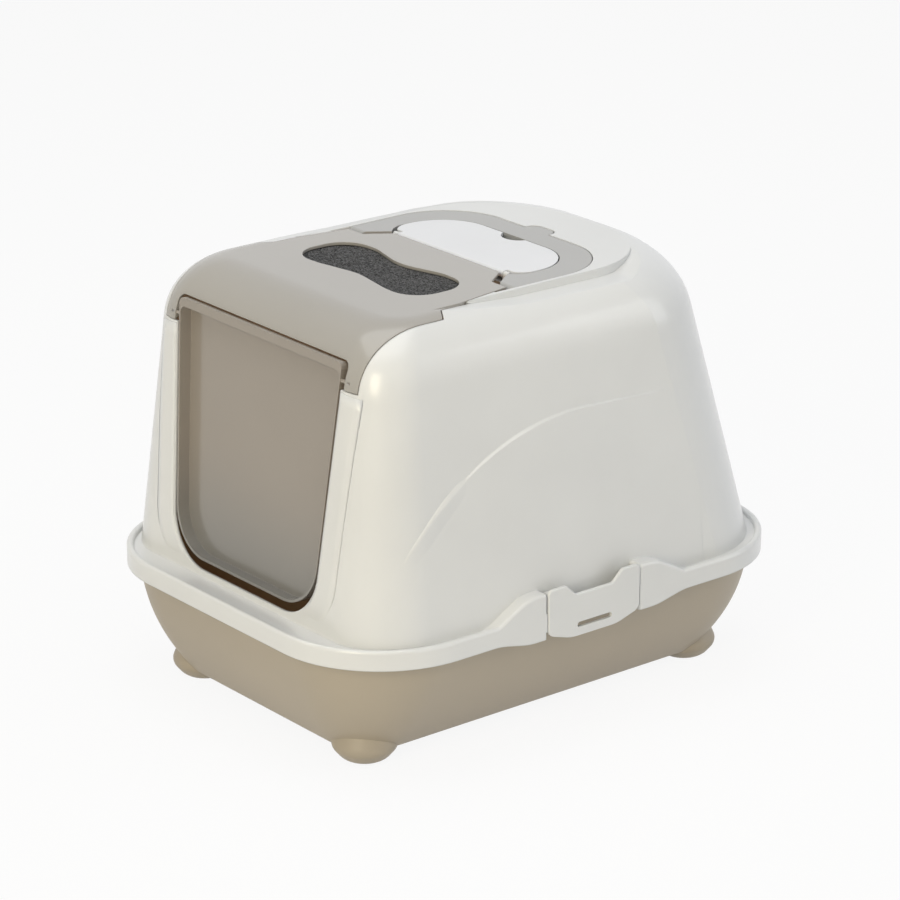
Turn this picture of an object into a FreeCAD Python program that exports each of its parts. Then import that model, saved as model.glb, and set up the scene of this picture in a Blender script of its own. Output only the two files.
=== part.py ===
import FreeCAD, Part
import Sketcher
import math
import os
import re

# Hooded cat litter box: tray, hood, hinged visor with swing door, filter, handle, storage lid, side latches
# Millimetres, +Z up, front towards -Y, origin on the floor under the middle of the box

doc = FreeCAD.newDocument("litter_box")
sheet = doc.addObject("Spreadsheet::Sheet", "Sizes")

SIZES = [
    ("wall_thick", 2.6, "moulded wall"),
    ("fit_gap", 0.8, "gap between pieces that move past each other"),
    ("pin_fit", 0.05, "radial play of a pin in its bore"),
    ("foot_height", 12, "clear height under the tray"),
    ("foot_radius", 29, "bulb foot, plan radius"),
    ("foot_place_x", 113, "foot centre from the middle"),
    ("foot_place_y", 176, "foot centre from the middle"),
    ("tray_half_width", 136, "tray floor"),
    ("tray_half_length", 199, "tray floor"),
    ("tray_corner", 46, "tray floor corner"),
    ("tray_belly", 7, "bulge of the tray wall"),
    ("rim_half_length", 245, "hood rim, outside"),
    ("rim_corner", 100, "hood rim corner"),
    ("rim_low", 105, "lower edge of the hood skirt"),
    ("rim_high", 122, "crest of the rim bead"),
    ("ledge_top", 118, "ledge between rim bead and dome"),
    ("bead_width", 6, "rim bead"),
    ("flange_inset", 4, "tray flange inside the skirt"),
    ("dome_half_width", 183, "dome at the ledge"),
    ("ledge_side", 13, "rim beyond the dome at the sides"),
    ("dome_front", 218, "dome at the ledge"),
    ("dome_rear", 236, "dome at the ledge"),
    ("dome_corner_front", 56, "dome at the ledge"),
    ("dome_corner_rear", 92, "dome at the ledge"),
    ("round_rise", 47, "height of the top rounding"),
    ("shoulder_inset", 23, "side walls drawn in at the shoulder"),
    ("shoulder_front", 196.5, "dome at the shoulder"),
    ("shoulder_rear", 191, "dome at the shoulder"),
    ("shoulder_corner_front", 42, "dome at the shoulder"),
    ("shoulder_corner_rear", 102, "dome at the shoulder"),
    ("top_corner_front", 24, "dome at the deck"),
    ("top_corner_rear", 100, "dome at the deck"),
    ("hood_top", 373, "deck height"),
    ("round_side", 38, "top rounding, sideways reach"),
    ("round_front", 47, "top rounding, reach at the front"),
    ("round_rear", 28, "top rounding, reach at the rear"),
    ("rear_kink", 10, "crease angle before the rear corners, degrees"),
    ("side_bulge", 3, "proud panel under the sweep line"),
    ("sweep_rise", 146.5, "bend of the sweep line above the ledge"),
    ("sweep_turn", 62, "bend of the sweep line, distance in front of the middle"),
    ("deck_half_width", 115, "raised deck"),
    ("deck_rear", 150, "raised deck"),
    ("deck_step", 7.5, "step down from the deck to the shoulder"),
    ("entrance_low", 123, "entrance sill"),
    ("entrance_half_low", 97, "entrance half width at the sill"),
    ("entrance_half_high", 114, "entrance half width under the visor"),
    ("entrance_corner", 45, "lower entrance corner"),
    ("visor_half_width", 131, "visor at the brow"),
    ("visor_waist", 119, "visor behind the side jog"),
    ("visor_tail", 105.5, "visor at the hinge"),
    ("visor_jog", 105, "side jog, distance in front of the middle"),
    ("leg_drop", 48, "lower end of the visor legs under the deck"),
    ("brow_drop", 26, "lower edge of the visor between the legs, under the deck"),
    ("leg_inner", 116.4, "inner edge of the visor legs"),
    ("visor_axis_y", 28, "visor hinge, distance in front of the middle"),
    ("visor_axis_drop", 5.6, "visor hinge under the deck"),
    ("visor_pin", 2, "visor hinge pin radius"),
    ("door_axis_y", 193.6, "door pivot, distance in front of the middle"),
    ("door_axis_drop", 42, "door pivot under the deck"),
    ("door_pin", 1.75, "door pivot radius"),
    ("door_gap", 2.4, "door to entrance"),
    ("door_low", 130, "lower door edge"),
    ("door_depth", 13, "door flange depth"),
    ("door_front", 2.4, "door flange ahead of the pivot"),
    ("door_lean", 5.6, "door leaning out with the front wall, degrees"),
    ("door_skin", 2, "door panel"),
    ("filter_half_length", 83, "filter opening"),
    ("filter_middle", 71, "filter opening, distance in front of the middle"),
    ("filter_lobe", 31, "filter opening, half depth of a lobe"),
    ("filter_waist", 23, "filter opening, half depth at the waist"),
    ("filter_margin", 5, "pad beyond the opening"),
    ("pad_depth", 8, "filter pad"),
    ("handle_half_width", 110, "carry handle, outside"),
    ("handle_front", 18.5, "handle leg ends, distance in front of the middle"),
    ("handle_rear", 100, "handle, outside"),
    ("handle_depth", 8.5, "handle thickness"),
    ("handle_drop", 0.3, "handle top under the deck"),
    ("handle_end", 5, "rounding of the handle leg ends"),
    ("handle_pin", 2.2, "handle pivot radius"),
    ("lid_half_width", 86.5, "storage lid"),
    ("lid_front", 3.5, "storage lid front edge"),
    ("lid_front_half", 71, "storage lid front edge, half length"),
    ("lid_rear", 75, "storage lid rear edge"),
    ("lid_thick", 3, "storage lid"),
    ("lid_gap", 1.2, "lid to handle"),
    ("lid_pin", 1.5, "lid hinge pin radius"),
    ("well_half_width", 60, "storage well"),
    ("well_depth", 36, "storage well below the lid"),
    ("latch_half_width", 49.5, "side latch"),
    ("latch_high", 141, "latch ears"),
    ("latch_dip", 131, "latch upper edge between the ears"),
    ("latch_low", 93.5, "latch lower edge"),
    ("latch_thick", 3, "latch plate"),
    ("latch_axis_inset", 5.5, "latch pivot inside the rim"),
    ("latch_axis_z", 134, "latch pivot"),
    ("latch_pin", 2, "latch pivot radius"),
]
DERIVED = [
    ("rim_half_width", "=dome_half_width + ledge_side", "hood rim, outside"),
    ("shoulder_half_width", "=dome_half_width - shoulder_inset", "dome at the shoulder"),
    ("shoulder_height", "=hood_top - round_rise", "where the top rounding starts"),
    ("leg_low", "=hood_top - leg_drop", "lower end of the visor legs"),
    ("brow_low", "=hood_top - brow_drop", "lower edge of the visor between the legs"),
    ("visor_axis_z", "=hood_top - visor_axis_drop", "visor hinge height"),
    ("door_axis_z", "=hood_top - door_axis_drop", "door pivot height"),
    ("latch_axis_x", "=rim_half_width - latch_axis_inset", "latch pivot"),
    ("door_high", "=brow_low - fit_gap", "upper door edge"),
]
for row, (alias, content, note) in enumerate(SIZES + DERIVED, start=1):
    sheet.set("A%d" % row, note)
    sheet.set("B%d" % row, str(content))
    sheet.setAlias("B%d" % row, alias)
doc.recompute()


def full(expression):
    return re.sub(r"\b([a-z]+_[a-z_]+)\b", r"Sizes.\1", str(expression))


def value(expression):
    return float(sheet.evalExpression(full(expression)))


def bind(item, prop, expression):
    item.setExpression(prop, full(expression))


def body(name):
    return doc.addObject("PartDesign::Body", name)


def plane(owner, role):
    return [f for f in owner.Origin.OriginFeatures if f.Role == role][0]


def corner_point(sketch, geo, vertex, place):
    for axis, kind, size in ((0, "DistanceX", place[0]), (1, "DistanceY", place[1])):
        now = value(size)
        if abs(now) < 1e-9:
            sketch.addConstraint(Sketcher.Constraint("PointOnObject", geo, vertex, -2 if axis == 0 else -1))
            continue
        if now > 0:
            index = sketch.addConstraint(Sketcher.Constraint(kind, -1, 1, geo, vertex, now))
            bind(sketch, "Constraints[%d]" % index, size)
        else:
            index = sketch.addConstraint(Sketcher.Constraint(kind, geo, vertex, -1, 1, -now))
            bind(sketch, "Constraints[%d]" % index, "-(%s)" % size)


def outline(owner, name, role, level, corners):
    # Closed polygon on one of the body's origin planes; each corner is (x, y) or (x, y, radius)
    sketch = owner.newObject("Sketcher::SketchObject", name)
    sketch.AttachmentSupport = [(plane(owner, role), "")]
    sketch.MapMode = "FlatFace"
    bind(sketch, "AttachmentOffset.Base.z", level)
    points = [FreeCAD.Vector(value(c[0]), value(c[1]), 0) for c in corners]
    radii = [value(c[2]) if len(c) > 2 else 0 for c in corners]
    count = len(corners)
    trims = []
    for i in range(count):
        to_last = (points[i - 1] - points[i]).normalize()
        to_next = (points[(i + 1) % count] - points[i]).normalize()
        half = to_last.getAngle(to_next) / 2
        reach = radii[i] / math.tan(half)
        centre = points[i]
        if radii[i]:
            centre = points[i] + (to_last + to_next).normalize() * (radii[i] / math.sin(half))
        trims.append((points[i] + to_last * reach, points[i] + to_next * reach, centre))
    lines = []
    for i in range(count):
        lines.append(sketch.addGeometry(Part.LineSegment(trims[i][1], trims[(i + 1) % count][0])))
    for i in range(count):
        before = lines[i - 1]
        after = lines[i]
        if not radii[i]:
            sketch.addConstraint(Sketcher.Constraint("Coincident", before, 2, after, 1))
            corner_point(sketch, after, 1, corners[i])
            continue
        start, end, centre = trims[i]
        turn = (start - centre).cross(end - centre).z
        first = start if turn > 0 else end
        last = end if turn > 0 else start
        a0 = math.atan2(first.y - centre.y, first.x - centre.x)
        a1 = math.atan2(last.y - centre.y, last.x - centre.x)
        circle = Part.Circle(centre, FreeCAD.Vector(0, 0, 1), radii[i])
        arc = sketch.addGeometry(Part.ArcOfCircle(circle, a0, a1 if a1 > a0 else a1 + 2 * math.pi))
        sketch.addConstraint(Sketcher.Constraint("Tangent", before, 2, arc, 1 if turn > 0 else 2))
        sketch.addConstraint(Sketcher.Constraint("Tangent", after, 1, arc, 2 if turn > 0 else 1))
        index = sketch.addConstraint(Sketcher.Constraint("Radius", arc, radii[i]))
        bind(sketch, "Constraints[%d]" % index, corners[i][2])
        mark = sketch.addGeometry(Part.Point(points[i]), True)
        sketch.addConstraint(Sketcher.Constraint("PointOnObject", mark, 1, before))
        sketch.addConstraint(Sketcher.Constraint("PointOnObject", mark, 1, after))
        corner_point(sketch, mark, 1, corners[i])
    return sketch


def pad(owner, sketch, length):
    feature = owner.newObject("PartDesign::Pad", sketch.Name + "_pad")
    feature.Profile = sketch
    bind(feature, "Length", length)
    sketch.Visibility = False
    return feature


def pocket(owner, sketch, length):
    feature = owner.newObject("PartDesign::Pocket", sketch.Name + "_pocket")
    feature.Profile = sketch
    bind(feature, "Length", length)
    sketch.Visibility = False
    return feature


def fillet(owner, base, radius, wanted):
    doc.recompute()
    edges = ["Edge%d" % n for n, edge in enumerate(base.Shape.Edges, start=1) if wanted(edge.BoundBox)]
    feature = owner.newObject("PartDesign::Fillet", base.Name + "_round")
    feature.Base = (base, edges)
    bind(feature, "Radius", radius)
    return feature


def loft(owner, kind, name, sections, ruled=False):
    feature = owner.newObject(kind, name)
    feature.Profile = sections[0]
    feature.Sections = sections[1:]
    feature.Ruled = ruled
    for sketch in sections:
        sketch.Visibility = False
    return feature


def prism(name, role, level, length, corners):
    owner = body(name)
    pad(owner, outline(owner, name + "_outline", role, level, corners), length)
    return owner


def box(name, low, high):
    item = doc.addObject("Part::Box", name)
    for axis, side, start, end in zip("xyz", ("Length", "Width", "Height"), low, high):
        bind(item, "Placement.Base." + axis, start)
        bind(item, side, "(%s) - (%s)" % (end, start))
    return item


def rod(name, axis, start, end, radius):
    # Round bar from one point to another along X, Y or Z
    item = doc.addObject("Part::Cylinder", name)
    turns = {
        "x": FreeCAD.Rotation(FreeCAD.Vector(0, 1, 0), 90),
        "y": FreeCAD.Rotation(FreeCAD.Vector(1, 0, 0), -90),
        "z": FreeCAD.Rotation(),
    }
    item.Placement = FreeCAD.Placement(FreeCAD.Vector(), turns[axis])
    for letter, place in zip("xyz", start):
        bind(item, "Placement.Base." + letter, place)
    number = "xyz".index(axis)
    bind(item, "Height", "(%s) - (%s)" % (end[number], start[number]))
    bind(item, "Radius", radius)
    return item


def pair_rod(name, inner, outer, y, z, radius):
    # The same bar along X on the right and on the left
    right = rod(name + "_right", "x", (inner, y, z), (outer, y, z), radius)
    left = rod(name + "_left", "x", ("-(%s)" % outer, y, z), ("-(%s)" % inner, y, z), radius)
    return [right, left]


def fuse(name, items):
    item = doc.addObject("Part::MultiFuse", name)
    item.Shapes = items
    return item


def cut(name, base, tools):
    item = doc.addObject("Part::Cut", name)
    item.Base = base
    item.Tool = tools[0] if len(tools) == 1 else fuse(name + "_tools", tools)
    return item


def common(name, base, tool):
    item = doc.addObject("Part::Common", name)
    item.Base = base
    item.Tool = tool
    return item


def mirror(name, source):
    item = doc.addObject("Part::Mirroring", name)
    item.Source = source
    item.Normal = FreeCAD.Vector(1, 0, 0)
    return item


def both(corners):
    # Right half of a symmetrical outline, front to rear, completed with its mirror image
    mirrored = [("-(%s)" % c[0],) + tuple(c[1:]) for c in reversed(corners)]
    return list(corners) + mirrored


def rectangle(half_width, half_length, radius):
    return both([(half_width, "-(%s)" % half_length, radius), (half_width, half_length, radius)])


# Tray with bulb feet, belly walls and a flange under the hood ledge

FLANGE_TOP = "ledge_top - wall_thick"
FLANGE_LOW = "ledge_top - 2 * wall_thick"
TRAY_HALF_X = "(rim_half_width - flange_inset - 5)"
TRAY_HALF_Y = "(rim_half_length - flange_inset - 5)"


def tray_sections(owner, name, inset, low, high):
    middle = "foot_height + 0.45 * (ledge_top - foot_height)"
    levels = [
        (low, "tray_half_width", "tray_half_length", "tray_corner"),
        (middle, "0.52 * tray_half_width + 0.48 * %s + tray_belly" % TRAY_HALF_X,
         "0.52 * tray_half_length + 0.48 * %s + tray_belly" % TRAY_HALF_Y,
         "0.52 * tray_corner + 0.48 * (rim_corner - flange_inset)"),
        (high, TRAY_HALF_X, TRAY_HALF_Y, "rim_corner - flange_inset"),
    ]
    sections = []
    for number, (level, half_x, half_y, radius) in enumerate(levels):
        shape = rectangle(*("%s - %s" % (size, inset) for size in (half_x, half_y, radius)))
        sections.append(outline(owner, "%s_%d" % (name, number), "XY_Plane", level, shape))
    return sections


def foot(name, place_x, place_y):
    # Bowl-shaped foot, revolved about its own upright axis
    owner = body(name)
    high = "4 * foot_height"
    half = outline(owner, name + "_half", "XZ_Plane", "0", [
        ("0", "0"), ("0.62 * foot_radius", "0", "0.5 * foot_radius"),
        ("foot_radius", "1.1 * foot_height", "0.3 * foot_radius"), ("0.5 * foot_radius", high), ("0", high)])
    turned = owner.newObject("PartDesign::Revolution", name + "_turned")
    turned.Profile = half
    turned.ReferenceAxis = (half, ["V_Axis"])
    turned.Angle = 360
    half.Visibility = False
    bind(owner, "Placement.Base.x", place_x)
    bind(owner, "Placement.Base.y", place_y)
    return owner


tray_outer = body("tray_outer")
tray_walls = tray_sections(tray_outer, "tray_outer", "0", "foot_height + wall_thick", FLANGE_LOW)
bevel = rectangle("tray_half_width - wall_thick", "tray_half_length - wall_thick", "tray_corner - wall_thick")
tray_sole = outline(tray_outer, "tray_sole", "XY_Plane", "foot_height", bevel)
loft(tray_outer, "PartDesign::AdditiveLoft", "tray_bevel", [tray_sole, tray_walls[0]], ruled=True)
loft(tray_outer, "PartDesign::AdditiveLoft", "tray_skin", tray_walls)
flange = rectangle("rim_half_width - flange_inset", "rim_half_length - flange_inset",
                   "rim_corner - flange_inset")
pad(tray_outer, outline(tray_outer, "tray_flange", "XY_Plane", FLANGE_LOW, flange), "wall_thick")
feet = []
for side_x in (1, -1):
    for side_y in (1, -1):
        feet.append(foot("foot_%d" % len(feet), "%d * foot_place_x" % side_x, "%d * foot_place_y" % side_y))
tray_inner = body("tray_inner")
loft(tray_inner, "PartDesign::AdditiveLoft", "tray_cavity",
     tray_sections(tray_inner, "tray_inner", "wall_thick", "foot_height + wall_thick", "ledge_top"))
tray = cut("tray", fuse("tray_solid", [tray_outer] + feet), [tray_inner])

# Dome of the hood: one loft for the outside, one wall thickness smaller for the inside

DOME_LOW = "(ledge_top - wall_thick)"
RISE = "(shoulder_height - %s)" % DOME_LOW
WALL_STEPS = (0, 0.91, 1)
ROUND_STEPS = (22.5, 45, 67.5, 90)


def dome_corners(half, front, rear, radius_front, radius_rear, bulge):
    kink_y = "(%s - 0.92 * (%s))" % (rear, radius_rear)
    rear_half = "(%s - 0.92 * (%s) * tan(rear_kink))" % (half, radius_rear)
    right = [(half, "-(%s)" % front, radius_front)]
    if bulge:
        right.append((half, "-(%s - %s - 1)" % (front, radius_front)))
        right.append(("%s + 1.2 * %s" % (half, bulge), "-sweep_turn", "10 * dome_half_width"))
    right.append((half, kink_y))
    right.append((rear_half, rear, radius_rear))
    return both(right)


def between(first, second, share):
    return "(%s + (%s - %s) * %g)" % (first, second, first, share)


def dome(name, inset, drop, steps, rounds, bulge=None):
    owner = body(name)
    sections = []
    for number, share in enumerate(steps):
        level = between(DOME_LOW, "shoulder_height", share)
        if number == 0:
            level = "%s - %s" % (level, drop)
        corners = dome_corners(
            "(%s - %s)" % (between("dome_half_width", "shoulder_half_width", share), inset),
            "(%s - %s)" % (between("dome_front", "shoulder_front", share), inset),
            "(%s - %s)" % (between("dome_rear", "shoulder_rear", share), inset),
            "(%s - %s)" % (between("dome_corner_front", "shoulder_corner_front", share), inset),
            "(%s - %s)" % (between("dome_corner_rear", "shoulder_corner_rear", share), inset), bulge)
        sections.append(outline(owner, "%s_wall_%d" % (name, number), "XY_Plane", level, corners))
    for number, angle in enumerate(rounds):
        climb = "((hood_top - %s - shoulder_height) * sin(%g))" % (inset, angle)
        sizes = []
        for part in ("half_width", "front", "rear"):
            reach = {"half_width": "round_side", "front": "round_front", "rear": "round_rear"}[part]
            lean = "(dome_%s - shoulder_%s) / %s * %s" % (part, part, RISE, climb)
            sizes.append("(shoulder_%s - %s - %s * (1 - cos(%g)) - %s)" % (part, lean, reach, angle, inset))
        for part in ("front", "rear"):
            change = "(top_corner_%s - shoulder_corner_%s) * (1 - cos(%g))" % (part, part, angle)
            sizes.append("(shoulder_corner_%s + %s - %s)" % (part, change, inset))
        corners = dome_corners(*sizes, None)
        sections.append(outline(owner, "%s_round_%d" % (name, number), "XY_Plane",
                                "shoulder_height + %s" % climb, corners))
    loft(owner, "PartDesign::AdditiveLoft", name + "_skin", sections[:2], ruled=True)
    if rounds:
        loft(owner, "PartDesign::AdditiveLoft", name + "_top", sections[1:])
    return owner


def shoulder_cut(name, inset):
    # Sloping step beside the raised deck: a wedge across the hood without the tongue of the deck
    top = "(hood_top - %s)" % inset
    low = "(hood_top - deck_step - %s)" % inset
    wedge = prism(name + "_wedge", "YZ_Plane", "-rim_half_width", "2 * rim_half_width", [
        ("-visor_jog", top), ("-0.2 * visor_jog", "%s + 0.2 * deck_step" % low, "120"),
        ("0.6 * deck_rear", low, "40"), ("0.9 * deck_rear", top),
        ("0.9 * deck_rear", "hood_top + 10"), ("-visor_jog", "hood_top + 10")])
    tongue = prism(name + "_tongue", "XY_Plane", "shoulder_height", "hood_top - shoulder_height + 20", both([
        ("deck_half_width - %s" % inset, "-2 * visor_jog"),
        ("deck_half_width - %s" % inset, "deck_rear + 2 * wall_thick - %s" % inset, "90 - %s" % inset)]))
    return cut(name, wedge, [tongue])


outside = cut("outside", dome("dome_outer", "0", "0", WALL_STEPS, ROUND_STEPS),
              [shoulder_cut("step_outer", "0")])
inside = cut("inside", dome("dome_inner", "wall_thick", "1", WALL_STEPS, ROUND_STEPS),
             [shoulder_cut("step_inner", "wall_thick")])

# Proud panel under the sweep line on both sides


def panel_outline(owner, name, level):
    # Side view of the panel; its upper face slopes outwards and down
    slope = "(0.5 * (dome_half_width + shoulder_half_width) - %s)" % level
    high = "ledge_top + sweep_rise + %s" % slope
    front = "-(dome_front - dome_corner_front - 1)"
    rear = "2.15 * sweep_turn"
    return outline(owner, name, "YZ_Plane", level, [
        (front, "rim_low"), (front, "%s - 0.44 * sweep_rise" % high),
        ("-sweep_turn", high, "1.6 * sweep_rise"),
        (rear, "%s - 0.07 * sweep_rise" % high), (rear, "rim_low")])


panel_right = body("panel_right")
loft(panel_right, "PartDesign::AdditiveLoft", "panel_wedge", [
    panel_outline(panel_right, "panel_inner", "0.85 * shoulder_half_width"),
    panel_outline(panel_right, "panel_outer", "dome_half_width + ledge_side")], ruled=True)
panel_area = fuse("panel_area", [panel_right, mirror("panel_left", panel_right)])
side_panel = common("side_panel", dome("dome_bulged", "0", "0", (0, 0.8), (), "side_bulge"), panel_area)

# Rim: bead, ledge and skirt over the tray flange

rim = body("rim")
pad(rim, outline(rim, "rim_block", "XY_Plane", "rim_low", rectangle(
    "rim_half_width", "rim_half_length", "rim_corner")), "rim_high - rim_low")
pocket(rim, outline(rim, "rim_trough", "XY_Plane", "rim_high", rectangle(
    "rim_half_width - bead_width", "rim_half_length - bead_width", "rim_corner - bead_width")),
    "rim_high - ledge_top")
skirt = outline(rim, "rim_skirt", "XY_Plane", FLANGE_TOP, rectangle(
    "rim_half_width - wall_thick", "rim_half_length - wall_thick", "rim_corner - wall_thick"))
rim_done = pocket(rim, skirt, "%s - rim_low" % FLANGE_TOP)
fillet(rim, rim_done, "0.45 * bead_width", lambda b: b.ZMin > value("rim_high") - 0.01)

# Wings beside the latches, hollow, with an end wall that carries the latch pivot


def wing(name, sign):
    owner = body(name)
    near = "latch_half_width + fit_gap"
    high = "(latch_high - 2)"
    low = "(latch_low + 5)"
    shape = [(near, low), (near, high, "3"), ("latch_half_width + 20", high, "40"),
             ("latch_half_width + 60", "ledge_top - 0.6", "40"), ("latch_half_width + 72", "ledge_top - 0.6"),
             ("latch_half_width + 72", "rim_low"), ("latch_half_width + 50", "rim_low", "60"),
             ("latch_half_width + 20", low, "60")]
    inner = "(%s + 1.2 * wall_thick)" % near
    hollow = [(inner, "0.8 * latch_low"), (inner, "%s - wall_thick" % high),
              ("latch_half_width + 19.5", "%s - wall_thick" % high, "37"),
              ("latch_half_width + 62", FLANGE_TOP), ("latch_half_width + 62", "0.8 * latch_low")]
    shape = [("%d * (%s)" % (sign, c[0]),) + c[1:] for c in shape]
    hollow = [("%d * (%s)" % (sign, c[0]),) + c[1:] for c in hollow]
    start = "shoulder_half_width"
    face = "rim_half_width"
    solid = pad(owner, outline(owner, name + "_outline", "YZ_Plane", start, shape), "%s - %s" % (face, start))
    fillet(owner, solid, "wall_thick", lambda b: b.XMin > value(face) - 0.01
           and b.ZMax > value("rim_high") - 1 and b.ZMin > value("rim_low"))
    pocket(owner, outline(owner, name + "_hollow", "YZ_Plane", "rim_half_width - wall_thick", hollow),
           "rim_half_width")
    return owner


def wing_mouth(name, sign):
    # Opens the hollow of a wing downwards through the ledge
    near = "%s + 1.2 * wall_thick" % BAY
    far = "latch_half_width + 55"
    span = (near, far) if sign > 0 else ("-(%s)" % far, "-(%s)" % near)
    return box(name, ("dome_half_width + 3", span[0], "rim_low"),
               ("rim_half_width - wall_thick", span[1], "ledge_top + 1"))


BAY = "(latch_half_width + fit_gap)"
mouths = [wing_mouth("mouth_rear", 1), wing_mouth("mouth_front", -1)]
mouths += [mirror("mouth_rear_left", mouths[0]), mirror("mouth_front_left", mouths[1])]
wings = fuse("wings", [wing("wing_rear", 1), wing("wing_front", -1)])
wings_left = mirror("wings_left", wings)

# Hood

bay_right = box("bay_right", ("latch_axis_x - 0.5", "-%s" % BAY, "rim_low - 20"),
                ("rim_half_width + 10", BAY, "rim_high + 5"))
bay_left = mirror("bay_left", bay_right)
BORE_REACH = "(%s + 3.2 * wall_thick)" % BAY
latch_bores = []
for sign in (1, -1):
    side = "%d * latch_axis_x" % sign
    latch_bores.append(rod("latch_bore", "y", (side, "-%s" % BORE_REACH, "latch_axis_z"),
                           (side, BORE_REACH, "latch_axis_z"), "latch_pin + pin_fit"))
entrance = prism("entrance", "XZ_Plane", "shoulder_front - 60", "120", [
    ("entrance_half_high", "door_high"), ("entrance_half_low", "entrance_low", "entrance_corner"),
    ("-entrance_half_low", "entrance_low", "entrance_corner"), ("-entrance_half_high", "door_high")])

PAN_FRONT = "-handle_front"
PAN_MIDDLE = "(lid_front - 0.9)"


def visor_corners(gap, tail, middle):
    # Plan of the visor, or of the gap that the hood leaves for it
    return both([
        ("visor_half_width + %s" % gap, "-2 * rim_half_length"),
        ("visor_half_width + %s" % gap, "-visor_jog - 3 + %s" % gap, "3"),
        ("visor_waist + %s" % gap, "-visor_jog + 4 + %s" % gap, "3"),
        ("visor_tail + %s" % gap, tail),
        ("lid_half_width + %s" % gap, tail, "4"),
        ("lid_front_half - 1 + %s" % gap, middle, "4")])


visor_space = prism("visor_space", "XY_Plane", "leg_low - fit_gap", "100",
                    visor_corners("fit_gap", PAN_FRONT, PAN_MIDDLE))
DECK_IN = "(hood_top - wall_thick)"
PAN_FLOOR = "(hood_top - handle_drop - handle_depth - 0.4)"


def handle_corners(gap):
    wide = "handle_half_width + %s" % gap
    rear = "handle_rear + %s" % gap
    return [(wide, rear, "60 + %s" % gap), ("15 + %s" % gap, rear),
            ("14 + %s" % gap, "%s + 11" % rear, "9")]


pan_block = prism("pan_block", "XY_Plane", "%s - wall_thick" % PAN_FLOOR, "hood_top - %s" % PAN_FLOOR, both(
    [("lid_front_half + 0.5", PAN_MIDDLE), ("lid_half_width + 1", PAN_FRONT),
     ("handle_half_width + fit_gap + wall_thick", PAN_FRONT)] + handle_corners("fit_gap + wall_thick")))
pan_space = prism("pan_space", "XY_Plane", PAN_FLOOR, "30", both(
    [("handle_half_width + fit_gap", "-2 * handle_front")] + handle_corners("fit_gap")))
leg_space = [box("leg_space_right", ("lid_front_half", "-2 * handle_front", "hood_top - 25"),
                 ("handle_half_width + fit_gap", "-0.25 * handle_front", "hood_top"))]
leg_space.append(mirror("leg_space_left", leg_space[0]))
WELL_TOP = "(hood_top - lid_thick - 0.4)"
WELL_LOW = "(hood_top - lid_thick - well_depth)"
WELL_FRONT = "(lid_front + 10)"
WELL_REAR = "(lid_rear - 13)"
well = box("well", ("-well_half_width", WELL_FRONT, WELL_LOW), ("well_half_width", WELL_REAR, WELL_TOP))
WELL_IN = "(well_half_width - wall_thick)"
well_space = box("well_space", ("-%s" % WELL_IN, "%s + wall_thick" % WELL_FRONT, "%s + wall_thick" % WELL_LOW),
                 (WELL_IN, "%s - wall_thick" % WELL_REAR, "hood_top + 5"))

VISOR_AXIS = ("-visor_axis_y", "visor_axis_z")
HANDLE_AXIS = ("-handle_front + handle_end", "hood_top - handle_drop - handle_end")
LID_AXIS = ("lid_front + lid_thick", "hood_top - lid_thick - 0.1")
visor_bosses = pair_rod("visor_boss", "visor_tail + 2.6", "deck_half_width - 0.8", *VISOR_AXIS, "4.4")
visor_bores = pair_rod("visor_bore", "visor_tail", "deck_half_width - 1.8", *VISOR_AXIS,
                       "visor_pin + pin_fit")
handle_bores = pair_rod("handle_bore", "handle_half_width", "deck_half_width - 1.2", *HANDLE_AXIS,
                        "handle_pin + pin_fit")
POST_INNER = "lid_front_half - 0.5"
POST_OUTER = "lid_front_half + 5.7"
lid_posts = pair_rod("lid_post_eye", POST_INNER, POST_OUTER, *LID_AXIS, "0.92 * lid_thick")
lid_post_right = box("lid_post_right", (POST_INNER, "lid_front + 0.08 * lid_thick", "%s - 1" % PAN_FLOOR),
                     (POST_OUTER, "lid_front + 1.92 * lid_thick", LID_AXIS[1]))
lid_posts.append(lid_post_right)
lid_posts.append(mirror("lid_post_left", lid_post_right))
lid_bores = pair_rod("lid_post_bore", "lid_front_half - 2", "lid_front_half + 5", *LID_AXIS,
                     "lid_pin + pin_fit")

flange_space = box("flange_space", ("shoulder_half_width - 5", "-latch_half_width - 80", "0.8 * latch_low"),
                   ("rim_half_width - flange_inset + 0.5 * fit_gap", "latch_half_width + 80", FLANGE_TOP))
flange_spaces = [flange_space, mirror("flange_space_left", flange_space)]

hood_block = fuse("hood_block", [outside, side_panel, rim, wings, wings_left])
hood_shell = cut("hood_shell", hood_block, [inside])
hood_open = cut("hood_open", fuse("hood_pan", [hood_shell, pan_block] + visor_bosses),
                [pan_space, visor_space, entrance, bay_right, bay_left] + leg_space + mouths + flange_spaces)
hood = cut("hood", fuse("hood_well", [hood_open, well] + lid_posts),
           [well_space] + latch_bores + visor_bores + handle_bores + lid_bores)

# Visor: the front part of the dome, with filter opening, hinge lugs, door sockets and retainer posts


def filter_corners(grow):
    length = "(filter_half_length + %s)" % grow
    lobe = "(filter_lobe + %s)" % grow
    waist = "(filter_waist - 2 + %s)" % grow
    rear = [(length, lobe, "26 + %s" % grow), ("0.54 * %s" % length, "%s + 2" % lobe, "40"),
            ("0", waist, "60")]
    upper = rear + [("-(%s)" % c[0],) + c[1:] for c in rear[1::-1]]
    lower = [(c[0], "-%s" % c[1]) + c[2:] for c in reversed(upper)]
    return [(c[0], "%s - filter_middle" % c[1]) + c[2:] for c in upper + lower]


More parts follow.
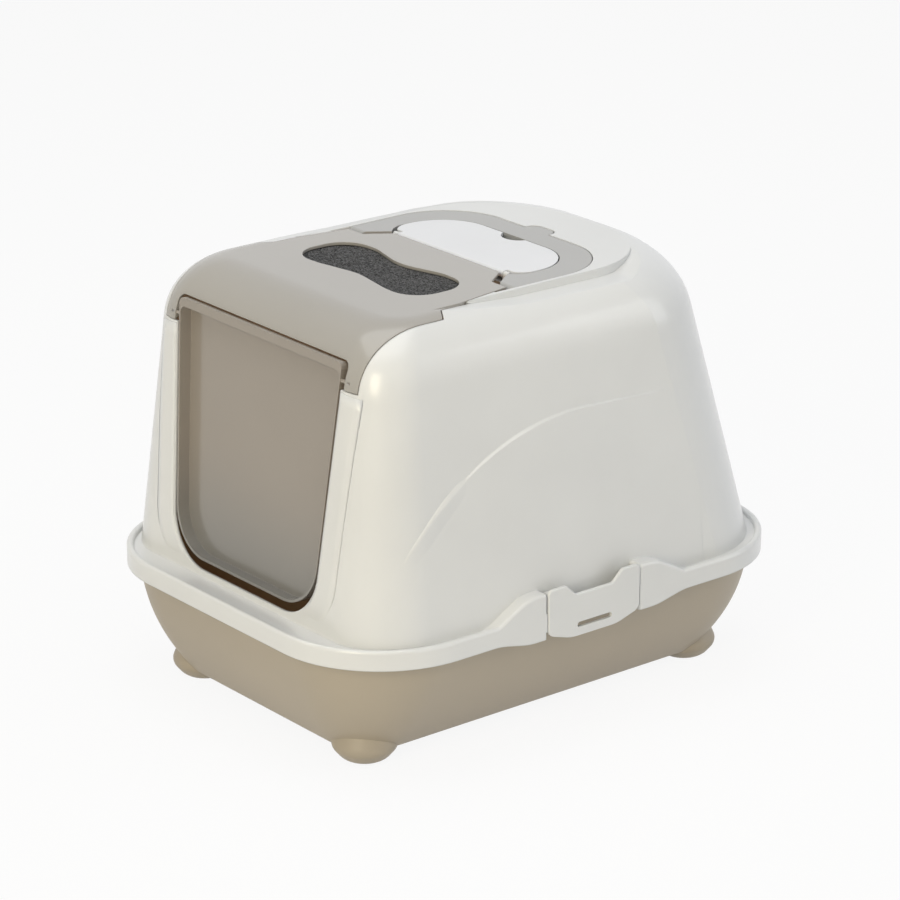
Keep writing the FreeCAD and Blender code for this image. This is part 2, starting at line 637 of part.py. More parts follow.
visor_area = prism("visor_area", "XY_Plane", "leg_low", "100",
                   visor_corners("0", "%s - 2.8" % PAN_FRONT, "%s - 1.6" % PAN_MIDDLE))
visor_skin = cut("visor_skin", common("visor_blank", outside, visor_area), [inside])
brow_space = prism("brow_space", "XZ_Plane", "shoulder_front - 60", "120", both(
    [("leg_inner", "leg_low - 10"), ("leg_inner", "brow_low", "7")]))
filter_hole = prism("filter_hole", "XY_Plane", "hood_top - 12", "24", filter_corners("0"))
lugs = pair_rod("visor_lug", "visor_tail - 15", "visor_tail - 6", *VISOR_AXIS, "4.4")
lug_bores = pair_rod("lug_bore", "visor_tail - 17", "visor_tail - 4", *VISOR_AXIS, "visor_pin + pin_fit")
DOOR_AXIS = ("-door_axis_y", "door_axis_z")
socket_bars = fuse("socket_bars", pair_rod("door_socket", "leg_inner", "leg_inner + 9", *DOOR_AXIS, "5"))
sockets = [common("door_sockets", socket_bars, outside)]
socket_bores = pair_rod("socket_bore", "leg_inner - 1", "leg_inner + 6", *DOOR_AXIS, "door_pin + pin_fit")
RETAINER_TOP = "(%s - pad_depth)" % DECK_IN
posts = []
pegs = []
peg_holes = []
for post_x in ("-filter_half_length - 10", "filter_half_length + 10"):
    for post_y in ("-filter_middle - filter_lobe - 3", "-filter_middle + filter_lobe - 3"):
        at = (post_x, post_y)
        peg_low = "%s - 4" % RETAINER_TOP
        hole_low = "%s - 10" % RETAINER_TOP
        hole_high = "%s + 5" % RETAINER_TOP
        posts.append(rod("post", "z", (*at, RETAINER_TOP), (*at, "hood_top - 1"), "3"))
        pegs.append(rod("peg", "z", (*at, peg_low), (*at, "hood_top - 1"), "1.6"))
        peg_holes.append(rod("peg_hole", "z", (*at, hole_low), (*at, hole_high), "1.6 + pin_fit"))
visor_open = cut("visor_open", visor_skin, [brow_space, filter_hole])
visor_solid = fuse("visor_solid", [visor_open] + lugs + sockets + posts + pegs)
visor = cut("visor", visor_solid, lug_bores + socket_bores)
visor_hinge_pins = fuse("visor_hinge_pins", pair_rod(
    "visor_pin_bar", "visor_tail - 17", "deck_half_width - 2", *VISOR_AXIS, "visor_pin"))

# Filter pad and the frame that holds it

filter_pad = prism("filter_pad", "XY_Plane", RETAINER_TOP, "pad_depth", filter_corners("filter_margin"))
retainer_plate = prism("retainer_plate", "XY_Plane", "%s - 2" % RETAINER_TOP, "2", both([
    ("filter_half_length + 15", "-filter_middle - filter_lobe - 8", "8"),
    ("filter_half_length + 15", "-filter_middle + filter_lobe + 2", "8")]))
slots = []
for number in range(-2, 3):
    place = "%d * 0.4 * filter_half_length" % number
    slots.append(box("slot", ("%s - 12" % place, "-filter_middle - 18", "%s - 5" % RETAINER_TOP),
                     ("%s + 12" % place, "-filter_middle + 18", "%s + 5" % RETAINER_TOP)))
filter_retainer = cut("filter_retainer", retainer_plate, slots + peg_holes)

# Swing door: a panel behind a forward flange, with pivot pins


DOOR_ROLL = "(door_high - door_axis_z)"


def door_corners(inset, top):
    # Front view around the pivot line
    high = "%s - %s" % (top, inset)
    low = "door_low - door_axis_z + %s" % inset
    wide = "entrance_half_high - door_gap - %s" % inset
    narrow = "entrance_half_low - door_gap - %s + 0.5" % inset
    turn = "entrance_corner - door_gap - %s" % inset
    return both([(narrow, low, turn), (wide, high, "6")])


door_shell = body("door_shell")
rim_shape = door_corners("0", DOOR_ROLL)
door_rim = outline(door_shell, "door_rim", "XZ_Plane", "door_front - door_depth", rim_shape)
pad(door_shell, door_rim, "door_depth")
dish_shape = door_corners("1.1 * door_skin", "0.65 * %s" % DOOR_ROLL)
dish = outline(door_shell, "door_dish", "XZ_Plane", "door_front", dish_shape)
pocket(door_shell, dish, "door_depth - door_skin")
lean = FreeCAD.Rotation(FreeCAD.Vector(-1, 0, 0), value("door_lean"))
door_shell.Placement = FreeCAD.Placement(FreeCAD.Vector(), lean)
bind(door_shell, "Placement.Base.y", DOOR_AXIS[0])
bind(door_shell, "Placement.Base.z", DOOR_AXIS[1])
bind(door_shell, "Placement.Rotation.Angle", "door_lean")
door_roll = rod("door_roll", "x", ("-entrance_half_high", *DOOR_AXIS),
                ("entrance_half_high", *DOOR_AXIS), DOOR_ROLL)
above_pivot = box("above_pivot", ("-entrance_half_high", "-door_axis_y - 2 * door_depth", "door_axis_z"),
                  ("entrance_half_high", "-door_axis_y + 2 * door_depth", "door_high + door_depth"))
door_panel = cut("door_panel", door_shell, [cut("door_top_waste", above_pivot, [door_roll])])
door_pin_start = "entrance_half_high - door_gap - 1.1 * door_skin"
swing_door = fuse("swing_door", [door_panel] + pair_rod(
    "door_pin_bar", door_pin_start, "leg_inner + 5.5", *DOOR_AXIS, "door_pin"))

# Carry handle

handle_band = body("handle_band")
inner = [("lid_half_width + lid_gap", "lid_rear + lid_gap", "45 + lid_gap"),
         ("lid_half_width + lid_gap", "lid_front + 10", "25"),
         ("lid_front_half + 6.5", "lid_front"), ("lid_half_width + 7", "-handle_front")]
outer = [("handle_half_width", "-handle_front")] + handle_corners("0")
left = [("-(%s)" % c[0],) + tuple(c[1:]) for c in inner + outer]
handle_plan = outline(handle_band, "handle_plan", "XY_Plane", "hood_top - handle_drop - handle_depth",
                      left + outer[::-1] + inner[::-1])
band = pad(handle_band, handle_plan, "handle_depth")
fillet(handle_band, band, "handle_end", lambda b: b.YMax < value("-handle_front") + 0.01
       and b.ZMin > value("hood_top - handle_drop") - 0.01)
carry_handle = fuse("carry_handle", [handle_band] + pair_rod(
    "handle_pin_bar", "handle_half_width - 3", "deck_half_width - 1.5", *HANDLE_AXIS, "handle_pin"))

# Storage lid with a rolled front edge on two pins

LID_LOW = "(hood_top - lid_thick - 0.1)"
lid_plate = prism("lid_plate", "XY_Plane", LID_LOW, "lid_thick", both([
    ("lid_front_half", "lid_front + lid_thick"), ("lid_half_width", "lid_front + 10", "20"),
    ("lid_half_width", "lid_rear", "45")]))
lid_roll = rod("lid_roll", "x", ("-lid_front_half + 0.9", LID_AXIS[0], LID_AXIS[1]),
               ("lid_front_half - 0.9", LID_AXIS[0], LID_AXIS[1]), "lid_thick")
finger = rod("finger", "z", ("0", "lid_rear + 6", "hood_top - 20"),
             ("0", "lid_rear + 6", "hood_top + 5"), "16")
post_gaps = [box("post_gap_right", ("lid_front_half - 0.9", "lid_front - 5", "hood_top - 20"),
                 ("lid_half_width + 5", "lid_front + 2.3 * lid_thick", "hood_top + 5"))]
post_gaps.append(mirror("post_gap_left", post_gaps[0]))
roll_bores = pair_rod("roll_bore", "lid_front_half - 11", "lid_front_half", *LID_AXIS, "lid_pin + pin_fit")
lid_cut = cut("lid_cut", lid_plate, [finger] + post_gaps)
storage_lid = cut("storage_lid", fuse("lid_solid", [lid_cut, lid_roll]), roll_bores)
storage_lid_pins = fuse("storage_lid_pins", pair_rod(
    "lid_pin_bar", "lid_front_half - 10.5", "lid_front_half + 3.2", *LID_AXIS, "lid_pin"))

# Side latches

FACE = "(rim_half_width - latch_thick + 0.8)"
plate = body("latch_plate")
ear = "latch_half_width"
upper = [(ear, "latch_high", "5"), ("0.62 * latch_half_width", "latch_high", "4"),
         ("0.4 * latch_half_width", "latch_dip", "6")]
lower = [("0.5 * latch_half_width", "latch_low", "40"), (ear, "latch_low + 7.5", "8")]
latch_face = pad(plate, outline(plate, "latch_outline", "YZ_Plane", FACE, both(lower + upper)), "latch_thick")
fillet(plate, latch_face, "0.4 * latch_thick", lambda b: b.XMin > value(FACE + " + latch_thick") - 0.01)
pocket(plate, outline(plate, "latch_slot", "YZ_Plane", FACE + " + 2 * latch_thick", [
    ("18.5", "latch_low + 7.7", "2.2"), ("18.5", "latch_low + 12.3", "2.2"),
    ("-18.5", "latch_low + 12.3", "2.2"), ("-18.5", "latch_low + 7.7", "2.2")]), "4 * latch_thick")
LATCH_BARS = [
    ("latch_lug", "latch_half_width - 12", "latch_half_width - 0.3", "4"),
    ("latch_pivot", "latch_half_width - 5", "%s + wall_thick" % BAY, "latch_pin"),
]
pieces = [plate]
for name, near, far, radius in LATCH_BARS:
    for start, end in ((near, far), ("-(%s)" % far, "-(%s)" % near)):
        pieces.append(rod(name, "y", ("latch_axis_x", start, "latch_axis_z"),
                          ("latch_axis_x", end, "latch_axis_z"), radius))
pieces.append(box("latch_hook", ("latch_axis_x - 1", "-30", "%s - 4" % FLANGE_LOW),
                  ("%s + 1" % FACE, "30", "%s - 0.6" % FLANGE_LOW)))
latch_right = fuse("latch_right", pieces)
latch_left = mirror("latch_left", latch_right)

# Write one file per piece

NODES = [tray, hood, visor, visor_hinge_pins, swing_door, filter_pad, filter_retainer, carry_handle,
         storage_lid, storage_lid_pins, latch_right, latch_left]
doc.recompute()
for item in doc.Objects:
    if "Invalid" in item.State or "Error" in item.State:
        raise RuntimeError("%s: %s" % (item.Name, item.State))
os.makedirs("parts", exist_ok=True)
for node in NODES:
    shape = node.Shape
    if shape.isNull() or not shape.isValid() or not shape.Solids:
        raise RuntimeError("bad shape: " + node.Label)
    shape.exportStep("parts/%s.step" % node.Label)
    print(node.Label, len(shape.Solids), round(shape.Volume / 1000, 1), shape.BoundBox)
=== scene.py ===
import math

import bmesh
import bpy
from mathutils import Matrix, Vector, geometry
from mathutils.bvhtree import BVHTree


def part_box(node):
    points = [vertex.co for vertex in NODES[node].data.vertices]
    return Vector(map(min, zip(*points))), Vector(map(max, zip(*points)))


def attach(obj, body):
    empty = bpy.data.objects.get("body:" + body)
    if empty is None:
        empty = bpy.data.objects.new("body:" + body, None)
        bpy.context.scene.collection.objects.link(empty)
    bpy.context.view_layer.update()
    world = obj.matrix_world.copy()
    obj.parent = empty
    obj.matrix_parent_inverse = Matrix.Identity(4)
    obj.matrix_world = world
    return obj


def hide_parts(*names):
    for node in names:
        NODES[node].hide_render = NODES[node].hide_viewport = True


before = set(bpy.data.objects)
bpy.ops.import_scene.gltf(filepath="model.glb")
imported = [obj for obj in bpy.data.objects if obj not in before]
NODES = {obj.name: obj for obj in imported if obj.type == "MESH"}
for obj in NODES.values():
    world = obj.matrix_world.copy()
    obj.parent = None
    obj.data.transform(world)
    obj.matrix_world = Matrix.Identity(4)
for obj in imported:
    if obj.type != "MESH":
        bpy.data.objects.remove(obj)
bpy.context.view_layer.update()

# Millimetres, as the part's sizes are written
MM = 0.001

# The photograph's camera, fitted to the rim, the feet and the visor's edges
CAMERA_AZIMUTH = math.radians(51.165)
CAMERA_ELEVATION = math.radians(20.061)
CAMERA_DISTANCE = 3.3119
CAMERA_TARGET = Vector((0.002429, 0.003017, 0.196575))
CAMERA_SENSOR = 36.0
CAMERA_LENS = 155.016
CAMERA_NEAR = 0.05
CAMERA_FAR = 60.0

# White set round the box: fill as a light, and the floor's paper
WHITE = (1.0, 1.0, 1.0, 1.0)
FILL_STRENGTH = 0.47
FILL_LEFT_SHARE = 0.15
FILL_LEFT_END = -0.9
FILL_RIGHT_END = 0.3
FLOOR_HALF_SIZE = 14.0
FLOOR_SQUARES = 8
FLOOR_DROP = 0.4 * MM
PAPER_BOUNCE = (0.85, 0.85, 0.85, 1.0)
PAPER_GLOW_SHARE = 0.9

# Lamp colours
COOL_TOP = (0.965, 0.98, 1.0)
COOL_SIDE = (0.94, 0.97, 1.0)
WARM_FRONT = (1.0, 0.9, 0.66)
AMBER_CABIN = (1.0, 0.58, 0.3)

# Plastics and foam, with a painted shade for the door's lower part
IVORY = (0.728, 0.734, 0.727)
PEARL_WHITE = (0.79, 0.798, 0.82)
TAUPE = (0.37, 0.352, 0.322)
SAND = (0.42, 0.365, 0.285)
CLOUD_GREY = (0.395, 0.392, 0.382)
SMOKE = (0.355, 0.315, 0.27)
# Painted shade: the door's smoke darkened towards the bottom
DOOR_LOW_PAINTED_SHADE = (0.25, 0.245, 0.23)
CHARCOAL = (0.028, 0.028, 0.029)
ASH = (0.16, 0.16, 0.163)
GRANULE_GREY = (0.115, 0.115, 0.117)


# Camera, floor and light

def studio_camera():
    """The camera at the photograph's place."""
    data = bpy.data.cameras.new("photo_camera")
    data.sensor_width = CAMERA_SENSOR
    data.lens = CAMERA_LENS
    data.clip_start = CAMERA_NEAR
    data.clip_end = CAMERA_FAR
    camera = bpy.data.objects.new("photo_camera", data)
    bpy.context.scene.collection.objects.link(camera)
    back = Vector((
        math.sin(CAMERA_AZIMUTH) * math.cos(CAMERA_ELEVATION),
        -math.cos(CAMERA_AZIMUTH) * math.cos(CAMERA_ELEVATION),
        math.sin(CAMERA_ELEVATION),
    ))
    camera.location = CAMERA_TARGET + back * CAMERA_DISTANCE
    camera.rotation_mode = "QUATERNION"
    camera.rotation_quaternion = (-back).to_track_quat("-Z", "Y")
    bpy.context.scene.camera = camera


def softbox(name, place, aim, width, height, watts, colour):
    """A rectangular studio lamp that faces the point aim."""
    data = bpy.data.lights.new(name, "AREA")
    data.shape = "RECTANGLE"
    data.size = width
    data.size_y = height
    data.energy = watts
    data.color = colour
    lamp = bpy.data.objects.new(name, data)
    bpy.context.scene.collection.objects.link(lamp)
    lamp.location = place
    lamp.rotation_mode = "QUATERNION"
    lamp.rotation_quaternion = (Vector(aim) - Vector(place)).to_track_quat("-Z", "Y")


def cabin_glow(place, radius, watts, colour):
    """Warm daylight that the smoky door and the thin walls let into the cabin."""
    data = bpy.data.lights.new("cabin_glow", "POINT")
    data.shadow_soft_size = radius
    data.energy = watts
    data.color = colour
    lamp = bpy.data.objects.new("cabin_glow", data)
    bpy.context.scene.collection.objects.link(lamp)
    lamp.location = place
    lamp.visible_camera = False
    lamp.visible_glossy = False
    lamp.visible_transmission = False


def larger(tree, first, second):
    """The larger of two values."""
    pick = tree.nodes.new("ShaderNodeMath")
    pick.operation = "MAXIMUM"
    tree.links.new(first, pick.inputs[0])
    tree.links.new(second, pick.inputs[1])
    return pick.outputs[0]


def seen_directly(tree):
    """One where a ray comes from the camera, a reflection or clear plastic."""
    ray = tree.nodes.new("ShaderNodeLightPath").outputs
    return larger(tree, larger(tree, ray["Is Camera Ray"], ray["Is Glossy Ray"]), ray["Is Transmission Ray"])


def white_surroundings():
    """White to look at; as a light it is weaker on the left, where the set is closed."""
    world = bpy.data.worlds.new("white_studio")
    bpy.context.scene.world = world
    world.use_nodes = True
    tree = world.node_tree
    tree.nodes.clear()
    output = tree.nodes.new("ShaderNodeOutputWorld")
    mix = tree.nodes.new("ShaderNodeMixShader")
    fill = tree.nodes.new("ShaderNodeBackground")
    fill.inputs["Color"].default_value = WHITE
    parts = tree.nodes.new("ShaderNodeSeparateXYZ")
    tree.links.new(tree.nodes.new("ShaderNodeTexCoord").outputs["Generated"], parts.inputs[0])
    strength = ranged(tree, parts.outputs["X"], FILL_STRENGTH * FILL_LEFT_SHARE, FILL_STRENGTH,
                      FILL_LEFT_END, FILL_RIGHT_END)
    tree.links.new(strength, fill.inputs["Strength"])
    white = tree.nodes.new("ShaderNodeBackground")
    white.inputs["Color"].default_value = WHITE
    white.inputs["Strength"].default_value = 1.0
    tree.links.new(seen_directly(tree), mix.inputs[0])
    tree.links.new(fill.outputs[0], mix.inputs[1])
    tree.links.new(white.outputs[0], mix.inputs[2])
    tree.links.new(mix.outputs[0], output.inputs["Surface"])


def white_paper():
    """Pale paper that looks almost white and still keeps the box's shadow."""
    material = bpy.data.materials.new("white_paper")
    material.use_nodes = True
    tree = material.node_tree
    tree.nodes.clear()
    output = tree.nodes.new("ShaderNodeOutputMaterial")
    mix = tree.nodes.new("ShaderNodeMixShader")
    paper = tree.nodes.new("ShaderNodeBsdfDiffuse")
    paper.inputs["Color"].default_value = PAPER_BOUNCE
    glow = tree.nodes.new("ShaderNodeEmission")
    glow.inputs["Strength"].default_value = 1.0
    share = tree.nodes.new("ShaderNodeMath")
    share.operation = "MULTIPLY"
    share.inputs[1].default_value = PAPER_GLOW_SHARE
    tree.links.new(seen_directly(tree), share.inputs[0])
    tree.links.new(share.outputs[0], mix.inputs[0])
    tree.links.new(paper.outputs[0], mix.inputs[1])
    tree.links.new(glow.outputs[0], mix.inputs[2])
    tree.links.new(mix.outputs[0], output.inputs["Surface"])
    return material


def studio_floor():
    """The plain floor under the feet."""
    mesh = bpy.data.meshes.new("studio_floor")
    shape = bmesh.new()
    bmesh.ops.create_grid(shape, x_segments=FLOOR_SQUARES, y_segments=FLOOR_SQUARES, size=FLOOR_HALF_SIZE)
    shape.to_mesh(mesh)
    shape.free()
    mesh.materials.append(white_paper())
    floor = new_piece("studio_floor", mesh)
    floor.location.z = -FLOOR_DROP


# Plastics

SATIN_GRAIN = 0.012 * MM
GRAIN_SCALE = 1400.0
TONE_DETAIL = 3.0
GRAIN_DETAIL = 2.0
NOISE_LOW = 0.3
NOISE_HIGH = 0.7
EDGE_SAMPLES = 8


def noise(tree, where, scale, detail):
    """Cloudy values between about NOISE_LOW and NOISE_HIGH."""
    texture = tree.nodes.new("ShaderNodeTexNoise")
    texture.inputs["Scale"].default_value = scale
    texture.inputs["Detail"].default_value = detail
    tree.links.new(where, texture.inputs["Vector"])
    return texture.outputs["Fac"]


def ranged(tree, value, low, high, start, end):
    """The value moved from start..end to low..high, and held there outside."""
    span = tree.nodes.new("ShaderNodeMapRange")
    span.inputs["From Min"].default_value = start
    span.inputs["From Max"].default_value = end
    span.inputs["To Min"].default_value = low
    span.inputs["To Max"].default_value = high
    tree.links.new(value, span.inputs["Value"])
    return span.outputs["Result"]


def stepped(tree, value, start, end):
    """A soft step from zero to one."""
    step = tree.nodes.new("ShaderNodeMapRange")
    step.interpolation_type = "SMOOTHSTEP"
    step.inputs["From Min"].default_value = start
    step.inputs["From Max"].default_value = end
    tree.links.new(value, step.inputs["Value"])
    return step.outputs["Result"]


def blended(tree, share, first, second):
    """A colour between two, each given as a plain colour or as a socket."""
    mix = tree.nodes.new("ShaderNodeMix")
    mix.data_type = "RGBA"
    for socket, colour in ((mix.inputs[6], first), (mix.inputs[7], second)):
        if isinstance(colour, tuple):
            socket.default_value = (*colour, 1.0)
        else:
            tree.links.new(colour, socket)
    tree.links.new(share, mix.inputs[0])
    return mix.outputs[2]


def shade(colour, factor):
    return tuple(min(1.0, c * factor) for c in colour)


def moulded(name, colour, rough, low_painted_shade=None, low_from=0.0, low_to=0.0, drift=0.03, drift_scale=7.0,
            grain=0.0, edge=0.7 * MM, coat=0.0, coat_rough=0.1, transmission=0.0, ior=1.5):
    """Moulded plastic: a slow drift of tone, a fine surface grain and edges softened by the mould.

    With a low colour, which is painted shade, the tone turns to it from the height low_to down to low_from.
    """
    material = bpy.data.materials.new(name)
    material.use_nodes = True
    tree = material.node_tree
    shader = tree.nodes["Principled BSDF"]
    place = tree.nodes.new("ShaderNodeTexCoord").outputs["Object"]
    tone = ranged(tree, noise(tree, place, drift_scale, TONE_DETAIL), 0.0, 1.0, NOISE_LOW, NOISE_HIGH)
    tone_and_painted_shade = blended(tree, tone, shade(colour, 1.0 - drift), shade(colour, 1.0 + drift))
    if low_painted_shade:
        parts = tree.nodes.new("ShaderNodeSeparateXYZ")
        tree.links.new(place, parts.inputs[0])
        # Painted shade: the colour turns darker towards the bottom
        tone_and_painted_shade = blended(tree, stepped(tree, parts.outputs["Z"], low_from, low_to), low_painted_shade, tone_and_painted_shade)
    tree.links.new(tone_and_painted_shade, shader.inputs["Base Color"])
    normal = None
    if edge:
        softened = tree.nodes.new("ShaderNodeBevel")
        softened.samples = EDGE_SAMPLES
        softened.inputs["Radius"].default_value = edge
        normal = softened.outputs["Normal"]
    if grain:
        bump = tree.nodes.new("ShaderNodeBump")
        bump.inputs["Strength"].default_value = 1.0
        bump.inputs["Distance"].default_value = grain
        tree.links.new(noise(tree, place, GRAIN_SCALE, GRAIN_DETAIL), bump.inputs["Height"])
        if normal:
            tree.links.new(normal, bump.inputs["Normal"])
        normal = bump.outputs["Normal"]
    if normal:
        tree.links.new(normal, shader.inputs["Normal"])
    shader.inputs["Roughness"].default_value = rough
    shader.inputs["Coat Weight"].default_value = coat
    shader.inputs["Coat Roughness"].default_value = coat_rough
    shader.inputs["Transmission Weight"].default_value = transmission
    shader.inputs["IOR"].default_value = ior
    return material


def finish(node, material):
    """One finish over a whole moulding."""
    mesh = NODES[node].data
    mesh.materials.clear()
    mesh.materials.append(material)


# Filter: a pad of open-cell foam with carbon grains on its cut face

CELLS_PER_METRE = 760.0
CELL_DARK_SHARE = 0.25
CELL_DEPTH = 0.6 * MM
FOAM_ROUGH = 0.95
FOAM_SHEEN = 0.2
FOAM_VOXEL = 1.6 * MM
FOAM_SOFTENING = 0.5
FOAM_PASSES = 3
FOAM_CUT_DEPTH = 2.5 * MM
FOAM_SINK = 1.3 * MM
FOAM_EDGE_SINK = 0.75
FOAM_CROWN = 0.35
FOAM_WAVE = 0.12
WAVE_ALONG = 310.0
WAVE_ACROSS = 370.0
WAVE_BEND = 1.7
WAVE_BEND_ACROSS = 420.0
GRAIN_DENSITY = 260000.0
GRAIN_RADIUS = 0.55 * MM
GRAIN_SEED = 7
GRAIN_SMALLEST = 0.45
GRAIN_UPWARD = 0.8
FULL_TURN = 6.283


def foam(name, dark, pale):
    """Open-cell carbon foam: dark cells with paler struts, deep fine pits."""
    material = bpy.data.materials.new(name)
    material.use_nodes = True
    tree = material.node_tree
    shader = tree.nodes["Principled BSDF"]
    place = tree.nodes.new("ShaderNodeTexCoord").outputs["Object"]
    cells = tree.nodes.new("ShaderNodeTexVoronoi")
    cells.inputs["Scale"].default_value = CELLS_PER_METRE
    tree.links.new(place, cells.inputs["Vector"])
    tint = tree.nodes.new("ShaderNodeSeparateColor")
    tree.links.new(cells.outputs["Color"], tint.inputs[0])
    share = ranged(tree, tint.outputs["Red"], 0.0, 1.0, CELL_DARK_SHARE, 1.0)
    tree.links.new(blended(tree, share, dark, pale), shader.inputs["Base Color"])
    bump = tree.nodes.new("ShaderNodeBump")
    bump.inputs["Strength"].default_value = 1.0
    bump.inputs["Distance"].default_value = CELL_DEPTH
    tree.links.new(tint.outputs["Green"], bump.inputs["Height"])
    tree.links.new(bump.outputs["Normal"], shader.inputs["Normal"])
    shader.inputs["Roughness"].default_value = FOAM_ROUGH
    shader.inputs["Specular IOR Level"].default_value = FOAM_SHEEN
    return material


def new_piece(name, mesh):
    piece = bpy.data.objects.new(name, mesh)
    bpy.context.scene.collection.objects.link(piece)
    return piece


def evaluated_mesh(piece):
    """The piece's mesh with its modifiers applied, as plain data."""
    bpy.context.view_layer.update()
    graph = bpy.context.evaluated_depsgraph_get()
    return bpy.data.meshes.new_from_object(piece.evaluated_get(graph))


def merged_copy(node):
    """A copy of a moulding's mesh with its loose triangles joined."""
    mesh = NODES[node].data.copy()
    shape = bmesh.new()
    shape.from_mesh(mesh)
    bmesh.ops.remove_doubles(shape, verts=shape.verts, dist=0.01 * MM)
    shape.to_mesh(mesh)
    shape.free()
    return mesh


def smooth_faces(mesh):
    for polygon in mesh.polygons:
        polygon.use_smooth = True


def foam_pad(name, node, material):
    """The filter as a soft block: rounded edges, a slight crown and an uneven cut face."""
    low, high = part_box(node)
    blank = new_piece(name + "_blank", merged_copy(node))
    remesh = blank.modifiers.new("remesh", "REMESH")
    remesh.mode = "VOXEL"
    remesh.voxel_size = FOAM_VOXEL
    soften = blank.modifiers.new("soften", "SMOOTH")
    soften.factor = FOAM_SOFTENING
    soften.iterations = FOAM_PASSES
    mesh = evaluated_mesh(blank)
    bpy.data.objects.remove(blank)
    for vertex in mesh.vertices:
        spot = vertex.co
        if spot.z < high.z - FOAM_CUT_DEPTH:
            continue
        bend = WAVE_BEND * math.sin(spot.y * WAVE_BEND_ACROSS)
        wave = math.sin(spot.x * WAVE_ALONG + bend) * math.sin(spot.y * WAVE_ACROSS)
        across = (spot.x - (low.x + high.x) / 2) / (high.x - low.x) * 2
        crown = 1.0 - across * across
        spot.z -= FOAM_SINK * (FOAM_EDGE_SINK - FOAM_CROWN * crown + FOAM_WAVE * wave)
    smooth_faces(mesh)
    mesh.materials.clear()
    mesh.materials.append(material)
    mesh.name = name
    return new_piece(name, mesh)


def grain_tree(name):
    """Geometry nodes: small rough grains scattered over the upward faces of a mesh."""
    tree = bpy.data.node_groups.new(name, "GeometryNodeTree")
    face = tree.interface
    face.new_socket("Surface", in_out="INPUT", socket_type="NodeSocketGeometry")
    inputs = {}
    for label, kind in (("Density", "NodeSocketFloat"), ("Radius", "NodeSocketFloat"),
                        ("Seed", "NodeSocketInt"), ("Finish", "NodeSocketMaterial")):
        inputs[label] = face.new_socket(label, in_out="INPUT", socket_type=kind).identifier
    face.new_socket("Grains", in_out="OUTPUT", socket_type="NodeSocketGeometry")
    nodes = tree.nodes
    links = tree.links
    given = nodes.new("NodeGroupInput")
    result = nodes.new("NodeGroupOutput")
    normal = nodes.new("GeometryNodeInputNormal")
    parts = nodes.new("ShaderNodeSeparateXYZ")
    links.new(normal.outputs[0], parts.inputs[0])
    upward = nodes.new("FunctionNodeCompare")
    upward.data_type = "FLOAT"
    upward.operation = "GREATER_THAN"
    upward.inputs[1].default_value = GRAIN_UPWARD
    links.new(parts.outputs["Z"], upward.inputs[0])
    scatter = nodes.new("GeometryNodeDistributePointsOnFaces")
    links.new(given.outputs["Surface"], scatter.inputs["Mesh"])
    links.new(upward.outputs[0], scatter.inputs["Selection"])
    links.new(given.outputs["Density"], scatter.inputs["Density"])
    links.new(given.outputs["Seed"], scatter.inputs["Seed"])
    grain = nodes.new("GeometryNodeMeshIcoSphere")
    grain.inputs["Subdivisions"].default_value = 1
    links.new(given.outputs["Radius"], grain.inputs["Radius"])
    size = nodes.new("FunctionNodeRandomValue")
    size.data_type = "FLOAT"
    size.inputs[2].default_value = GRAIN_SMALLEST
    size.inputs[3].default_value = 1.0
    links.new(given.outputs["Seed"], size.inputs["Seed"])
    turn = nodes.new("FunctionNodeRandomValue")
    turn.data_type = "FLOAT_VECTOR"
    turn.inputs[1].default_value = (FULL_TURN, FULL_TURN, FULL_TURN)
    links.new(given.outputs["Seed"], turn.inputs["Seed"])
    place = nodes.new("GeometryNodeInstanceOnPoints")
    links.new(scatter.outputs["Points"], place.inputs["Points"])
    links.new(grain.outputs["Mesh"], place.inputs["Instance"])
    links.new(turn.outputs[0], place.inputs["Rotation"])
    links.new(size.outputs[1], place.inputs["Scale"])
    solid = nodes.new("GeometryNodeRealizeInstances")
    links.new(place.outputs[0], solid.inputs[0])
    paint = nodes.new("GeometryNodeSetMaterial")
    links.new(solid.outputs[0], paint.inputs["Geometry"])
    links.new(given.outputs["Finish"], paint.inputs["Material"])
    links.new(paint.outputs[0], result.inputs[0])
    return tree, inputs


def scattered_grains(name, surface, material):
    """Carbon grains on a piece's upper face, as a plain mesh."""
    tree, inputs = grain_tree(name + "_tree")
    carrier = new_piece(name + "_carrier", surface.data.copy())
    modifier = carrier.modifiers.new("grains", "NODES")
    modifier.node_group = tree
    modifier[inputs["Density"]] = GRAIN_DENSITY
    modifier[inputs["Radius"]] = GRAIN_RADIUS
    modifier[inputs["Seed"]] = GRAIN_SEED
    modifier[inputs["Finish"]] = material
    mesh = evaluated_mesh(carrier)
    bpy.data.objects.remove(carrier)
    mesh.name = name
    return new_piece(name, mesh)


# Low mouldings laid on the hood's own surface

MERGE_DISTANCE = 0.001 * MM
EDGE_SINK = 0.3 * MM


def eased(share):
    """A soft rise from zero to one."""
    held = min(1.0, max(0.0, share))
    return held * held * (3.0 - 2.0 * held)


def surface_of(node):
    mesh = NODES[node].data
    return BVHTree.FromPolygons([v.co for v in mesh.vertices], [tuple(f.vertices) for f in mesh.polygons])


def close_strip(shape, rows):
    """Upper and lower faces between neighbouring rows, and the walls at their ends."""
    last = len(rows[0]) - 1
    for first, second in zip(rows, rows[1:]):
        for step in range(last):
            for layer in (0, 1):
                shape.faces.new((first[step][layer], first[step + 1][layer],
                                 second[step + 1][layer], second[step][layer]))
        for step in (0, last):
            shape.faces.new((first[step][0], second[step][0], second[step][1], first[step][1]))
    for row in (rows[0], rows[-1]):
        for near, far in zip(row, row[1:]):
            shape.faces.new((near[0], far[0], far[1], near[1]))


